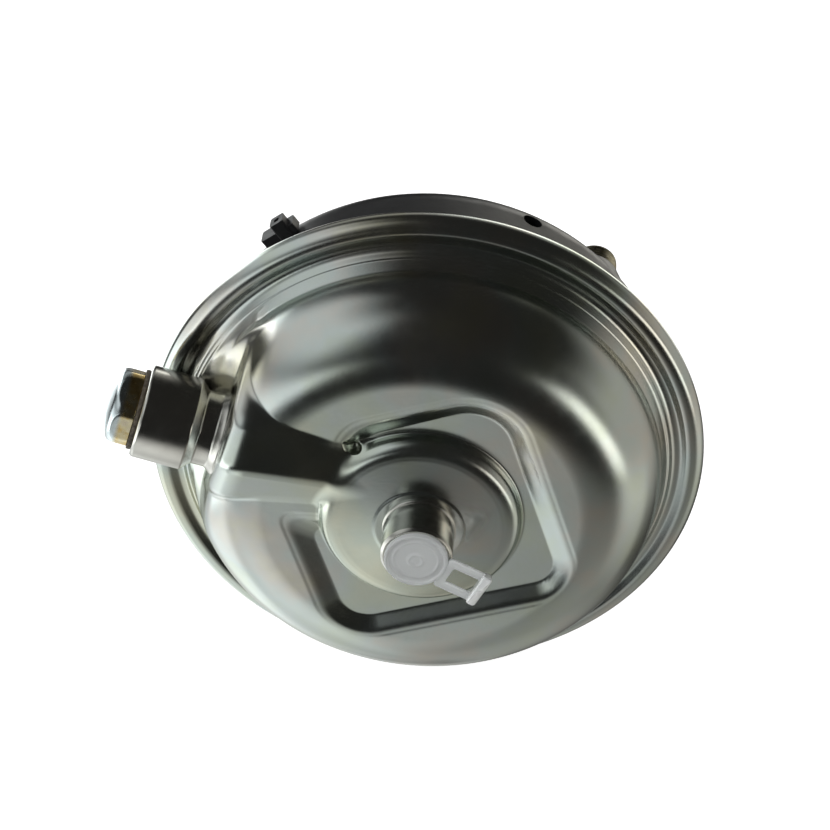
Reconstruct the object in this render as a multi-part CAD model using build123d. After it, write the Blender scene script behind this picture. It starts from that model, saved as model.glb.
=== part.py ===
from build123d import *
import math
import os

# Diaphragm brake chamber for an air disc brake.
# Frame: millimetres, +Z up. The chamber's axis is Y. The origin is the centre of the mounting
# face, the studs and the push rod point to +Y, and the air ports point to -Y and to the side.

# ---------------------------------------------------------------- driving dimensions
# rim, where the cover is rolled over the flange of the rear housing
RIM_RADIUS = 93.0
RIM_THICKNESS = 9.6
RIM_PLANE = -52.0              # middle of the rolled rim
LIP_WIDTH = 7.8                # from the rim's edge in to the rolled lip's free edge
COVER_SHEET = 2.4

# cover (pressure housing)
CREASE_INSET = 12.3            # from the rim's edge in to the foot of the bowl wall
CREASE_DEPTH = 2.0             # foot of the wall in front of the flange
FLANGE_FILLET = 2.2
FLANGE_ROOT = 0.6              # the fillet starts this far outside the wall's foot
CLAMP_OVERLAP = 1.0            # room cut behind the wall's foot for the diaphragm's bead
WALL_DRAFT = 2.1               # from the wall's foot in to where the shoulder begins
WALL_DEPTH = 11.0              # from the rim plane to the start of the shoulder
SHOULDER_WIDTH = 26.8
COVER_DEPTH = 38.5             # from the rim plane to the cover's flat face

# square recess pressed into the cover's face
RECESS_ANGLE = 17.3
RECESS_HALF = 36.9
RECESS_CORNER = 11.0
RECESS_SLOPE = 7.4             # width of the sloping band round the recess
RECESS_DEPTH = 2.2
RECESS_EDGE_ROUND = 5.0

# round dish raised out of the recess
DISH_RADIUS = 33.2
DISH_ROUND = 5.6
DISH_HEIGHT = 7.4              # from the recess floor to the port pad
DISH_PAD_RADIUS = 14.8
DISH_PAD_STEP = 0.3
DISH_CROWN = 1.5               # rise of the dish from its round edge to the pad

# channel pressed out for the side port
SIDE_ANGLE = 163.3             # direction of the side port in the XZ plane
SIDE_DROP = 21.6               # from the rim plane to the side port's axis
SIDE_FLAT_INSET = 24.0         # from the rim's edge in to the flat that carries the boss
SIDE_STEP = 0.6                # the channel's end stands this far out of the bowl's flat
SIDE_RELIEF = 0.2              # room for the boss where it passes over the crease
CHANNEL_HALF = 29.0
CHANNEL_SIDE_DROP = 8.5        # fall of the channel's edge at its outer end
CHANNEL_RISE = 1.6             # channel above the cover's face at its outer end
CHANNEL_ROUND = 6.5
CHANNEL_INNER_HALF = 18.0
CHANNEL_INNER_RISE = 3.2
CHANNEL_INNER_SIDE_DROP = 3.0
CHANNEL_INNER_END = 20.0

# axial port
AXIAL_BOSS_RADIUS = 11.65
AXIAL_BOSS_LENGTH = 14.4
AXIAL_THREAD_RADIUS = 7.19
AXIAL_THREAD_LENGTH = 10.0
AXIAL_LEAD_RADIUS = 8.8        # plain entry in front of the thread, which holds the dust cap
AXIAL_LEAD_DEPTH = 3.4
AIR_HOLE_RADIUS = 4.5
BOSS_CHAMFER = 0.8

# side port
SIDE_BOSS_RADIUS = 15.4
SIDE_BOSS_LENGTH = 17.0
SIDE_BOSS_CONE = 3.0
SIDE_NECK_RADIUS = 12.4
SIDE_NECK_LENGTH = 7.4
SIDE_THREAD_RADIUS = 10.2
SIDE_THREAD_LENGTH = 13.0
PLUG_HEX_FLATS = 24.0
PLUG_HEX_HEIGHT = 6.6
PLUG_HEX_CHAMFER = 1.1
PLUG_SHANK_LENGTH = 10.0
PLUG_HEX_TURN = 5.0
SEAL_OUTER_RADIUS = 13.4
SEAL_INNER_RADIUS = 10.6
SEAL_THICKNESS = 1.5

# dust cap
CAP_RADIUS = 10.3
CAP_THICKNESS = 1.2
CAP_RIM_WIDTH = 1.2
CAP_RIM_HEIGHT = 0.6
CAP_SPIGOT_GAP = 0.7           # between the cap's spigot and the start of the thread
CAP_SPIGOT_WALL = 1.1
CAP_FIT = 0.08
CAP_HUB_RADIUS = 2.6
TAB_ANGLE = -28.4
TAB_REACH = 24.6
TAB_WIDTH = 12.2
TAB_ARM = 2.9
TAB_WINDOW_START = 12.2
TAB_THICKNESS = 1.4
TAB_BAR_HEIGHT = 2.8
TAB_BAR_WIDTH = 3.0

# rear housing (non-pressure side)
REAR_SHEET = 2.6
REAR_FLANGE_GAP = 0.1          # between the flange's edge and the rolled rim
REAR_FLANGE = 2.2
REAR_WALL_INSET = 11.4         # from the rim's edge in to the wall
REAR_WALL_TAPER = 0.7
REAR_FLANGE_FILLET = 3.0
REAR_SHOULDER = 15.0
REAR_BACK = -9.0               # the housing's back, behind the raised mounting face
PAD_RADIUS = 46.0              # raised mounting face round the opening
PAD_END = 13.1                 # and past each stud, along their line
PAD_HALF_WIDTH = 21.8
PAD_CORNER = 10.0
PAD_DRAFT = 10.0               # degrees
PAD_INNER_ROUND = 0.6
OPENING_RADIUS = 26.5

# studs
STUD_ANGLE = 25.0
STUD_INSET = 32.675            # from the rim's edge in to a stud's axis: studs 120.65 apart
STUD_RADIUS = 8.0
STUD_LENGTH = 27.5
STUD_CHAMFER = 1.3
STUD_KNURL_RADIUS = 8.6
STUD_HEAD_RADIUS = 10.6
STUD_HEAD_HEIGHT = 5.0
STUD_PLATE_THICKNESS = 5.0
STUD_PLATE_HOLE = 35.0

# vents in the side of the rear housing
VENT_ANGLES = {"open": 65.8, "top": 125.8, "left": 245.8, "bottom": 305.8}
VENT_PLANE = -23.5
VENT_RADIUS = 3.3
VENT_STEM_CLEARANCE = 0.05
VENT_BAR = (13.0, 6.2, 3.4)
VENT_LUG = (5.2, 5.2, 6.6)
VENT_LUG_SHIFT = 1.0
VENT_PLUG_CORNER = 0.8
VENT_RECESS_RADIUS = 1.1
VENT_RECESS_DEPTH = 1.2

# diaphragm, plate, rod
DIAPHRAGM_THICKNESS = 2.8
DIAPHRAGM_WALL = 2.2
DIAPHRAGM_SIDE_GAP = 4.6       # between its cup and the cover's flat
DIAPHRAGM_ROOT_GAP = 1.0
DIAPHRAGM_MOUTH_INSET = 4.7    # from the foot of the cover's wall
DIAPHRAGM_ROOT_DEPTH = 1.4
DIAPHRAGM_CORNER = 6.0
REST_GAP = 0.35
PLATE_SIDE_GAP = 10.0          # between the push plate and the diaphragm's cup
PLATE_THICKNESS = 3.0
PLATE_RIM_HEIGHT = 5.0
PLATE_BEVEL = 3.0
PLATE_ROOT = 1.0
ROD_RADIUS = 10.0
ROD_END_RADIUS = 9.0
ROD_END_LENGTH = 8.0
ROD_REACH = 15.0               # rod end beyond the mounting face with the brake released
ROD_FOOT_RADIUS = 17.0
ROD_FOOT_HEIGHT = 4.0
ROD_ROOT = 2.0

# return spring
SPRING_WIRE = 1.9              # radius of the wire
SPRING_BIG_RADIUS = 40.0
SPRING_SMALL_RADIUS = 21.5
SPRING_TURNS = 4.5
SPRING_CLEARANCE = 0.15

# gaiter, its rings and the face seal
GAITER_SKIN = 1.5
GAITER_LIP = 2.0
GAITER_LIP_RADIUS = 33.0
GAITER_COLLAR = 2.2
GAITER_COLLAR_LENGTH = 9.0
GAITER_EDGE = 1.5              # of the lip inside the opening
GAITER_COLLAR_PLANE = -24.0
GAITER_WAVES = 3
GAITER_SWING = 2.2
ROD_CLEARANCE = 0.3
RING_THICKNESS = 1.4
RING_OUTER_RADIUS = 34.4
RING_INNER_RADIUS = 26.8
CLIP_WIRE = 0.8
FACE_SEAL_INNER = 29.0
FACE_SEAL_OUTER = 36.5
FACE_SEAL_DEPTH = 1.1
FACE_SEAL_PROUD = 0.6
FIT = 0.1

# ---------------------------------------------------------------- derived places
LIP_INNER_RADIUS = RIM_RADIUS - LIP_WIDTH
CREASE_RADIUS = RIM_RADIUS - CREASE_INSET
WALL_RADIUS = CREASE_RADIUS - WALL_DRAFT
SIDE_FLAT = RIM_RADIUS - SIDE_FLAT_INSET
REAR_WALL_RADIUS = RIM_RADIUS - REAR_WALL_INSET
STUD_SPACING = 2 * (RIM_RADIUS - STUD_INSET)
PAD_REACH = STUD_SPACING / 2 + PAD_END
DIAPHRAGM_RADIUS = SIDE_FLAT - COVER_SHEET - DIAPHRAGM_SIDE_GAP
DIAPHRAGM_ROOT_RADIUS = SIDE_FLAT - COVER_SHEET - DIAPHRAGM_ROOT_GAP
DIAPHRAGM_MOUTH_RADIUS = CREASE_RADIUS - DIAPHRAGM_MOUTH_INSET
PLATE_RADIUS = DIAPHRAGM_RADIUS - PLATE_SIDE_GAP
RIM_FRONT = RIM_PLANE - RIM_THICKNESS / 2
RIM_REAR = RIM_PLANE + RIM_THICKNESS / 2
FACE_PLANE = RIM_PLANE - COVER_DEPTH
FLOOR_PLANE = FACE_PLANE + RECESS_DEPTH
PAD_PLANE = FLOOR_PLANE - DISH_HEIGHT
AXIAL_END = PAD_PLANE - AXIAL_BOSS_LENGTH
SIDE_PLANE = RIM_PLANE - SIDE_DROP
SIDE_BOSS_FOOT = SIDE_FLAT + SIDE_NECK_LENGTH + SIDE_BOSS_CONE
SIDE_END = SIDE_BOSS_FOOT + SIDE_BOSS_LENGTH
CLAMP_REAR = RIM_REAR - COVER_SHEET
REAR_FLANGE_RADIUS = RIM_RADIUS - RIM_THICKNESS / 2 - REAR_FLANGE_GAP
REAR_FLANGE_FRONT = CLAMP_REAR - REAR_FLANGE
CLAMP_FRONT = RIM_FRONT + COVER_SHEET
STUD_SEAT = -REAR_SHEET
PLATE_SEAT = STUD_SEAT - STUD_PLATE_THICKNESS
DIAPHRAGM_FLOOR = FLOOR_PLANE + COVER_SHEET + REST_GAP
PLATE_PLANE = DIAPHRAGM_FLOOR + DIAPHRAGM_THICKNESS + REST_GAP
ROD_FOOT_PLANE = PLATE_PLANE + PLATE_THICKNESS

SIDE_DIR = Vector(math.cos(math.radians(SIDE_ANGLE)), 0, math.sin(math.radians(SIDE_ANGLE)))
SIDE_ACROSS = Vector(SIDE_DIR.Z, 0, -SIDE_DIR.X)


# ---------------------------------------------------------------- helpers
def turned(points):
    """A solid of revolution about Y from a closed outline of (radius, y) points."""
    outline = Polyline(*[(r, y) for r, y in points], close=True)
    return revolve(make_face(outline), Axis.Y)


def cylinder_y(radius, y_from, y_to):
    return turned([(0, y_from), (radius, y_from), (radius, y_to), (0, y_to)])


def ring_y(inner, outer, y_from, y_to):
    return turned([(inner, y_from), (outer, y_from), (outer, y_to), (inner, y_to)])


def side_plane(along):
    """Plane across the side port's direction; its local x runs up the cover, its y is +Y."""
    return Plane(origin=SIDE_DIR * along, x_dir=SIDE_ACROSS, z_dir=SIDE_DIR)


def side_turned(points):
    """A solid of revolution about the side port's axis from (radius, distance) points."""
    frame = Plane(origin=(0, SIDE_PLANE, 0), x_dir=SIDE_DIR, z_dir=SIDE_ACROSS)
    outline = Polyline(*[frame.from_local_coords((d, r)) for r, d in points], close=True)
    axis = Axis(frame.origin, SIDE_DIR)
    return revolve(make_face(outline), axis)


def side_cylinder(radius, d_from, d_to):
    return side_turned([(0, d_from), (radius, d_from), (radius, d_to), (0, d_to)])


def stud_centres():
    angle = math.radians(STUD_ANGLE)
    across = Vector(math.cos(angle), 0, math.sin(angle)) * (STUD_SPACING / 2)
    return [across, across * -1]


def save(name, shape):
    export_step(shape, f"parts/{name}.step")


# ---------------------------------------------------------------- cover
def bowl(inset):
    """The filled bowl of the cover, shrunk by inset on every side."""
    wall_start = RIM_PLANE - WALL_DEPTH
    foot = RIM_FRONT - CREASE_DEPTH
    centre = WALL_RADIUS - SHOULDER_WIDTH
    width = SHOULDER_WIDTH - inset
    height = COVER_DEPTH - WALL_DEPTH - inset
    shoulder = EllipticalCenterArc((centre, wall_start), width, height, 270, arc_size=90)
    face = FACE_PLANE + inset
    wall = Polyline((centre, face), (0, face), (0, CLAMP_REAR), (CREASE_RADIUS - inset, CLAMP_REAR),
                    (CREASE_RADIUS - inset, foot), (WALL_RADIUS - inset, wall_start))
    body = revolve(make_face([shoulder, wall]), Axis.Y)
    cutter = Box(2 * RIM_RADIUS, 2 * RIM_RADIUS, RIM_RADIUS)
    cutter = side_plane(SIDE_FLAT - SIDE_STEP - inset + RIM_RADIUS / 2) * cutter
    cutter = Pos(0, foot + inset - RIM_RADIUS, 0) * cutter
    return body - cutter


def recess(inset):
    """Cutter for the square recess: a shallow rounded frustum."""
    floor = FLOOR_PLANE + inset
    face = FACE_PLANE + inset
    turn = math.radians(RECESS_ANGLE)
    x_dir = (math.cos(turn), 0, math.sin(turn))
    low = Plane(origin=(0, floor, 0), x_dir=x_dir, z_dir=(0, -1, 0))
    high = Plane(origin=(0, face, 0), x_dir=x_dir, z_dir=(0, -1, 0))
    side = 2 * (RECESS_HALF + inset)
    wide = side + 2 * RECESS_SLOPE
    corner = RECESS_CORNER + inset
    inner = low * RectangleRounded(side, side, corner)
    outer = high * RectangleRounded(wide, wide, corner + RECESS_SLOPE)
    return loft([inner, outer])


def dish(inset):
    """The round platform that carries the axial port."""
    top = PAD_PLANE + inset
    edge = top + DISH_CROWN
    radius = DISH_RADIUS - inset
    rounding = DISH_ROUND - inset
    start = (radius, edge + rounding)
    middle = radius - rounding
    outline = Polyline((middle, edge), (DISH_PAD_RADIUS, top + DISH_PAD_STEP),
                       (DISH_PAD_RADIUS, top), (0, top), (0, RIM_PLANE - WALL_DEPTH),
                       (radius, RIM_PLANE - WALL_DEPTH), start)
    corner = CenterArc((middle, edge + rounding), rounding, -90, 90)
    return revolve(make_face([outline, corner]), Axis.Y)


def channel(inset):
    """The raised channel between the side port's flat and the dish."""
    def section(along, half, top, drop):
        low = RIM_FRONT - CREASE_DEPTH
        half -= inset
        top += inset
        legs = Polyline((half, top + drop), (half, low), (-half, low), (-half, top + drop))
        arch = ThreePointArc((-half, top + drop), (0, top), (half, top + drop))
        return side_plane(along) * make_face([legs, arch])
    outer = section(SIDE_FLAT - inset, CHANNEL_HALF, FACE_PLANE - CHANNEL_RISE, CHANNEL_SIDE_DROP)
    inner = section(CHANNEL_INNER_END + inset, CHANNEL_INNER_HALF, FACE_PLANE - CHANNEL_INNER_RISE,
                    CHANNEL_INNER_SIDE_DROP)
    body = loft([inner, outer], ruled=True)
    tip = body.faces().sort_by(Axis(Vector(0, 0, 0), SIDE_DIR))[-1]
    arch_edge = tip.edges().sort_by(Axis.Y)[0]
    return fillet([arch_edge], CHANNEL_ROUND - inset)


def pressed_form(inset, rounded):
    body = bowl(inset) - recess(inset)
    if rounded:
        face_edges = [e for e in body.edges() if lies_in_face(e)]
        body = fillet(face_edges, RECESS_EDGE_ROUND)
    return body + dish(inset) + channel(inset)


def lies_in_face(edge):
    """True for the recess's edges in the cover's flat face, without the shoulder's seam."""
    seam = WALL_RADIUS - SHOULDER_WIDTH
    points = [edge @ 0.1, edge @ 0.5, edge @ 0.8]
    in_plane = all(abs(p.Y - FACE_PLANE) < 0.01 for p in points)
    on_seam = all(abs(math.hypot(p.X, p.Z) - seam) < 0.05 for p in points)
    return in_plane and not on_seam


def rolled_rim():
    """The flange and the lip rolled round the rear housing's flange, with its slot."""
    half = RIM_THICKNESS / 2
    centre = RIM_RADIUS - half
    wall_in = CREASE_RADIUS - COVER_SHEET
    foot = RIM_FRONT - CREASE_DEPTH
    root = CREASE_RADIUS + FLANGE_ROOT
    turn = FLANGE_FILLET - FLANGE_ROOT
    bead = CenterArc((centre, RIM_PLANE), half, -90, 180)
    edge = Polyline((centre, RIM_REAR), (LIP_INNER_RADIUS, RIM_REAR), (LIP_INNER_RADIUS, CLAMP_REAR),
                    (centre, CLAMP_REAR))
    slot = CenterArc((centre, RIM_PLANE), half - COVER_SHEET, 90, -180)
    back = Polyline((centre, CLAMP_FRONT), (wall_in, CLAMP_FRONT), (wall_in, foot),
                    (root, foot), (root, RIM_FRONT - turn))
    fillet_arc = ThreePointArc((root, RIM_FRONT - turn), (root + 0.3 * turn, RIM_FRONT - 0.3 * turn),
                               (root + turn, RIM_FRONT))
    front = Line((CREASE_RADIUS + FLANGE_FILLET, RIM_FRONT), (centre, RIM_FRONT))
    return revolve(make_face([bead, edge, slot, back, fillet_arc, front]), Axis.Y)


def pressure_housing():
    cavity = pressed_form(COVER_SHEET, False)
    shell = pressed_form(0, True) + rolled_rim()
    behind = cylinder_y(CREASE_RADIUS - COVER_SHEET, CLAMP_FRONT - 1, RIM_REAR + 1)
    clamp = cylinder_y(CREASE_RADIUS + CLAMP_OVERLAP, CLAMP_FRONT, RIM_REAR)
    shell = shell - cavity - behind - clamp
    shell = shell - cylinder_y(AIR_HOLE_RADIUS, PAD_PLANE - 1, DIAPHRAGM_FLOOR)
    side_hole = side_cylinder(AIR_HOLE_RADIUS, SIDE_FLAT - 2 * COVER_SHEET, SIDE_FLAT + 1)
    neck_end = SIDE_FLAT + SIDE_NECK_LENGTH
    relief = side_cylinder(SIDE_BOSS_RADIUS + SIDE_RELIEF, neck_end, SIDE_END)
    return shell - side_hole - relief


# ---------------------------------------------------------------- ports
def axial_port_boss():
    end = AXIAL_END
    c = BOSS_CHAMFER
    lead_end = end + AXIAL_LEAD_DEPTH
    thread_end = lead_end + AXIAL_THREAD_LENGTH
    return turned([
        (AIR_HOLE_RADIUS, PAD_PLANE), (AXIAL_BOSS_RADIUS - c, PAD_PLANE),
        (AXIAL_BOSS_RADIUS, PAD_PLANE - c), (AXIAL_BOSS_RADIUS, end + c),
        (AXIAL_BOSS_RADIUS - c, end), (AXIAL_LEAD_RADIUS, end), (AXIAL_LEAD_RADIUS, lead_end),
        (AXIAL_THREAD_RADIUS, lead_end), (AXIAL_THREAD_RADIUS, thread_end),
        (AIR_HOLE_RADIUS, thread_end + c / 2)])


def side_port_boss():
    c = BOSS_CHAMFER
    thread_end = SIDE_END - SIDE_THREAD_LENGTH
    neck_end = SIDE_FLAT + SIDE_NECK_LENGTH
    return side_turned([
        (AIR_HOLE_RADIUS, SIDE_FLAT), (SIDE_NECK_RADIUS, SIDE_FLAT), (SIDE_NECK_RADIUS, neck_end),
        (SIDE_BOSS_RADIUS, SIDE_BOSS_FOOT), (SIDE_BOSS_RADIUS, SIDE_END - c),
        (SIDE_BOSS_RADIUS - c, SIDE_END), (SIDE_THREAD_RADIUS, SIDE_END),
        (SIDE_THREAD_RADIUS, thread_end), (AIR_HOLE_RADIUS, thread_end - c)])


def side_port_plug_seal():
    return side_turned([
        (SEAL_INNER_RADIUS, SIDE_END), (SEAL_OUTER_RADIUS, SIDE_END),
        (SEAL_OUTER_RADIUS, SIDE_END + SEAL_THICKNESS),
        (SEAL_INNER_RADIUS, SIDE_END + SEAL_THICKNESS)])


def side_port_plug():
    head = SIDE_END + SEAL_THICKNESS
    plane = Plane(origin=Vector(0, SIDE_PLANE, 0) + SIDE_DIR * head, x_dir=SIDE_ACROSS, z_dir=SIDE_DIR)
    circumradius = PLUG_HEX_FLATS / 2 / math.cos(math.pi / 6)
    outline = Rot(0, 0, PLUG_HEX_TURN) * RegularPolygon(circumradius, 6)
    hexagon = extrude(plane * outline, PLUG_HEX_HEIGHT)
    top = head + PLUG_HEX_HEIGHT
    cone = circumradius + 0.01
    turned_head = side_turned([
        (0, head), (cone, head), (cone, top - PLUG_HEX_CHAMFER),
        (PLUG_HEX_FLATS / 2 - 0.4, top), (0, top)])
    shank_radius = SIDE_THREAD_RADIUS - FIT
    shank_end = SIDE_END - PLUG_SHANK_LENGTH
    shank = side_turned([
        (0, head), (shank_radius, head), (shank_radius, shank_end + BOSS_CHAMFER),
        (shank_radius - BOSS_CHAMFER, shank_end), (0, shank_end)])
    return (hexagon & turned_head) + shank


def port_dust_cap():
    inner = AXIAL_END
    outer = inner - CAP_THICKNESS
    spigot = AXIAL_LEAD_RADIUS - CAP_FIT
    spigot_end = inner + AXIAL_LEAD_DEPTH - CAP_SPIGOT_GAP
    disc = turned([
        (0, outer - CAP_RIM_HEIGHT / 2), (CAP_HUB_RADIUS, outer - CAP_RIM_HEIGHT / 2),
        (CAP_HUB_RADIUS, outer),
        (CAP_RADIUS - CAP_RIM_WIDTH, outer), (CAP_RADIUS - CAP_RIM_WIDTH, outer - CAP_RIM_HEIGHT),
        (CAP_RADIUS, outer - CAP_RIM_HEIGHT), (CAP_RADIUS, inner), (spigot, inner),
        (spigot, spigot_end), (spigot - CAP_SPIGOT_WALL, spigot_end),
        (spigot - CAP_SPIGOT_WALL, inner), (0, inner)])
    turn = math.radians(TAB_ANGLE)
    x_dir = (math.cos(turn), 0, math.sin(turn))
    base = Plane(origin=(0, inner, 0), x_dir=x_dir, z_dir=(0, -1, 0))
    start = CAP_RADIUS - CAP_RIM_WIDTH
    tab_length = TAB_REACH - start
    frame = base * Pos(start + tab_length / 2, 0) * Rectangle(tab_length, TAB_WIDTH)
    window_length = TAB_REACH - TAB_BAR_WIDTH - TAB_WINDOW_START
    window_width = TAB_WIDTH - 2 * TAB_ARM
    window = base * Pos(TAB_WINDOW_START + window_length / 2, 0) * Rectangle(window_length, window_width)
    bar = base * Pos(TAB_REACH - TAB_BAR_WIDTH / 2, 0) * Rectangle(TAB_BAR_WIDTH, TAB_WIDTH)
    tab = extrude(frame, TAB_THICKNESS) - extrude(window, TAB_THICKNESS) + extrude(bar, TAB_BAR_HEIGHT)
    return disc + tab


# ---------------------------------------------------------------- rear housing
def rear_form(inset):
    """The filled rear housing, shrunk by inset: bowl, shoulder and raised mounting face."""
    wall = REAR_WALL_RADIUS - inset
    end = wall - REAR_WALL_TAPER
    turn = REAR_SHOULDER - inset
    back = REAR_BACK - inset
    outline = Polyline((0, back), (0, REAR_FLANGE_FRONT), (wall, REAR_FLANGE_FRONT), (wall, CLAMP_REAR),
                       (end, back - turn))
    corner = CenterArc((end - turn, back - turn), turn, 0, 90)
    closing = Line((end - turn, back), (0, back))
    body = revolve(make_face([outline, corner, closing]), Axis.Y)
    pad = extrude(Plane.XZ.offset(inset) * pad_outline(inset), 2 * REAR_SHOULDER, taper=-PAD_DRAFT)
    top_edges = pad.faces().sort_by(Axis.Y)[-1].edges()
    pad = fillet(top_edges, PAD_INNER_ROUND + REAR_SHEET - inset)
    limit = cylinder_y(end, REAR_BACK - 2 * REAR_SHOULDER, 0)
    return body + (pad & limit)


def pad_outline(inset):
    """Outline of the mounting face: round in the middle, with an arm to each stud."""
    arms = RectangleRounded(2 * (PAD_REACH - inset), 2 * (PAD_HALF_WIDTH - inset), PAD_CORNER - inset)
    return Circle(PAD_RADIUS - inset) + Rot(0, 0, STUD_ANGLE) * arms


def rear_flange():
    wall_in = REAR_WALL_RADIUS - REAR_SHEET
    f = REAR_FLANGE_FILLET
    outline = Polyline((wall_in, CLAMP_REAR + f), (wall_in, REAR_FLANGE_FRONT),
                       (REAR_FLANGE_RADIUS, REAR_FLANGE_FRONT), (REAR_FLANGE_RADIUS, CLAMP_REAR),
                       (REAR_WALL_RADIUS + f, CLAMP_REAR))
    corner = CenterArc((REAR_WALL_RADIUS + f, CLAMP_REAR + f), f, 180, 90)
    closing = Line((REAR_WALL_RADIUS, CLAMP_REAR + f), (wall_in, CLAMP_REAR + f))
    return revolve(make_face([outline, corner, closing]), Axis.Y)


def vent_direction(angle):
    turn = math.radians(angle)
    return Vector(math.cos(turn), 0, math.sin(turn))


def vent_plane(angle, distance):
    direction = vent_direction(angle)
    tangent = Vector(-direction.Z, 0, direction.X)
    return Plane(origin=Vector(0, VENT_PLANE, 0) + direction * distance, x_dir=tangent, z_dir=direction)


def non_pressure_housing():
    shell = rear_form(0) + rear_flange() - rear_form(REAR_SHEET)
    shell -= cylinder_y(REAR_WALL_RADIUS - REAR_SHEET, REAR_FLANGE_FRONT - 1, CLAMP_REAR)
    shell -= cylinder_y(OPENING_RADIUS, -2 * REAR_SHEET, 1)
    shell -= ring_y(FACE_SEAL_INNER, FACE_SEAL_OUTER, -FACE_SEAL_DEPTH, 1)
    for centre in stud_centres():
        shell -= Pos(centre.X, 0, centre.Z) * cylinder_y(STUD_KNURL_RADIUS, -2 * REAR_SHEET, 1)
    for angle in VENT_ANGLES.values():
        drill = Circle(VENT_RADIUS)
        shell -= extrude(vent_plane(angle, REAR_WALL_RADIUS - REAR_SHOULDER) * drill, 2 * REAR_SHOULDER)
    return shell


def stud_plate():
    outline = pad_outline(REAR_SHEET + PAD_INNER_ROUND + FIT) - Circle(STUD_PLATE_HOLE)
    for centre in stud_centres():
        outline -= Pos(centre.X, centre.Z) * Circle(STUD_KNURL_RADIUS)
    return extrude(Plane.XZ.offset(-STUD_SEAT) * outline, STUD_PLATE_THICKNESS)


def mounting_stud(centre):
    tip = STUD_LENGTH
    stud = turned([
        (0, PLATE_SEAT - STUD_HEAD_HEIGHT), (STUD_HEAD_RADIUS - 1, PLATE_SEAT - STUD_HEAD_HEIGHT),
        (STUD_HEAD_RADIUS, PLATE_SEAT - STUD_HEAD_HEIGHT + 1), (STUD_HEAD_RADIUS, PLATE_SEAT),
        (STUD_KNURL_RADIUS, PLATE_SEAT), (STUD_KNURL_RADIUS, 0), (STUD_RADIUS, 0),
        (STUD_RADIUS, tip - STUD_CHAMFER), (STUD_RADIUS - STUD_CHAMFER, tip), (0, tip)])
    return Pos(centre.X, 0, centre.Z) * stud


def vent_plug(angle):
    """A moulded plug: a bar across the vent, a lug with a small recess, and a stem in the hole."""
    length, width, height = VENT_BAR
    lug_length, lug_width, lug_height = VENT_LUG
    wall = REAR_WALL_RADIUS - REAR_WALL_TAPER / 2
    seat = vent_plane(angle, wall + REST_GAP)
    bar = extrude(seat * Pos(length / 6, 0) * RectangleRounded(length, width, VENT_PLUG_CORNER), height)
    lug_place = Pos(0, VENT_LUG_SHIFT)
    lug_outline = RectangleRounded(lug_length, lug_width, VENT_PLUG_CORNER)
    lug = extrude(seat * lug_place * lug_outline, lug_height)
    recess_floor = vent_plane(angle, wall + lug_height - VENT_RECESS_DEPTH)
    recess_cut = extrude(recess_floor * lug_place * Circle(VENT_RECESS_RADIUS), 2 * VENT_RECESS_DEPTH)
    stem_length = REAR_SHEET + 3
    stem = extrude(vent_plane(angle, wall - stem_length) * Circle(VENT_RADIUS - VENT_STEM_CLEARANCE),
                   stem_length + height / 2)
    return bar + lug + stem - recess_cut


# ---------------------------------------------------------------- moving parts
def diaphragm():
    t = DIAPHRAGM_THICKNESS
    w = DIAPHRAGM_WALL
    floor = DIAPHRAGM_FLOOR
    mouth = DIAPHRAGM_MOUTH_RADIUS
    root = DIAPHRAGM_ROOT_RADIUS
    root_plane = CLAMP_FRONT - DIAPHRAGM_ROOT_DEPTH
    corner = DIAPHRAGM_CORNER
    bevel = DIAPHRAGM_CORNER / 4
    cup = DIAPHRAGM_RADIUS
    return turned([
        (0, floor), (cup - corner, floor), (cup - bevel, floor + bevel), (cup, floor + corner),
        (root, root_plane), (mouth, CLAMP_FRONT), (REAR_FLANGE_RADIUS, CLAMP_FRONT),
        (REAR_FLANGE_RADIUS, REAR_FLANGE_FRONT), (mouth, REAR_FLANGE_FRONT),
        (root - w / 2, root_plane + w), (cup - w, floor + corner),
        (cup - bevel - w, floor + bevel + w), (cup - corner, floor + t), (0, floor + t)])


def push_plate():
    y = PLATE_PLANE
    t = PLATE_THICKNESS
    top = y + t + PLATE_RIM_HEIGHT
    inside = PLATE_RADIUS - t
    return turned([
        (0, y), (PLATE_RADIUS - PLATE_BEVEL, y), (PLATE_RADIUS, y + PLATE_BEVEL), (PLATE_RADIUS, top),
        (inside, top), (inside, y + t + PLATE_ROOT), (inside - PLATE_ROOT, y + t), (0, y + t)])


def push_rod():
    foot = ROD_FOOT_PLANE
    shoulder = ROD_REACH - ROD_END_LENGTH - ROD_END_RADIUS / 2
    tip = ROD_REACH
    dome_start = tip - ROD_END_RADIUS / 2
    sphere = (ROD_END_RADIUS ** 2 + (tip - dome_start) ** 2) / (2 * (tip - dome_start))
    half_way = math.asin(ROD_END_RADIUS / sphere) / 2
    dome_middle = (sphere * math.sin(half_way), tip - sphere + sphere * math.cos(half_way))
    outline = Polyline((0, foot), (ROD_FOOT_RADIUS, foot), (ROD_FOOT_RADIUS, foot + ROD_FOOT_HEIGHT / 2),
                       (ROD_RADIUS + ROD_ROOT, foot + ROD_FOOT_HEIGHT),
                       (ROD_RADIUS, foot + ROD_FOOT_HEIGHT + ROD_ROOT),
                       (ROD_RADIUS, shoulder - 1), (ROD_END_RADIUS, shoulder),
                       (ROD_END_RADIUS, dome_start))
    dome = ThreePointArc((ROD_END_RADIUS, dome_start), dome_middle, (0, tip))
    closing = Line((0, tip), (0, foot))
    return revolve(make_face([outline, dome, closing]), Axis.Y)


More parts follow.
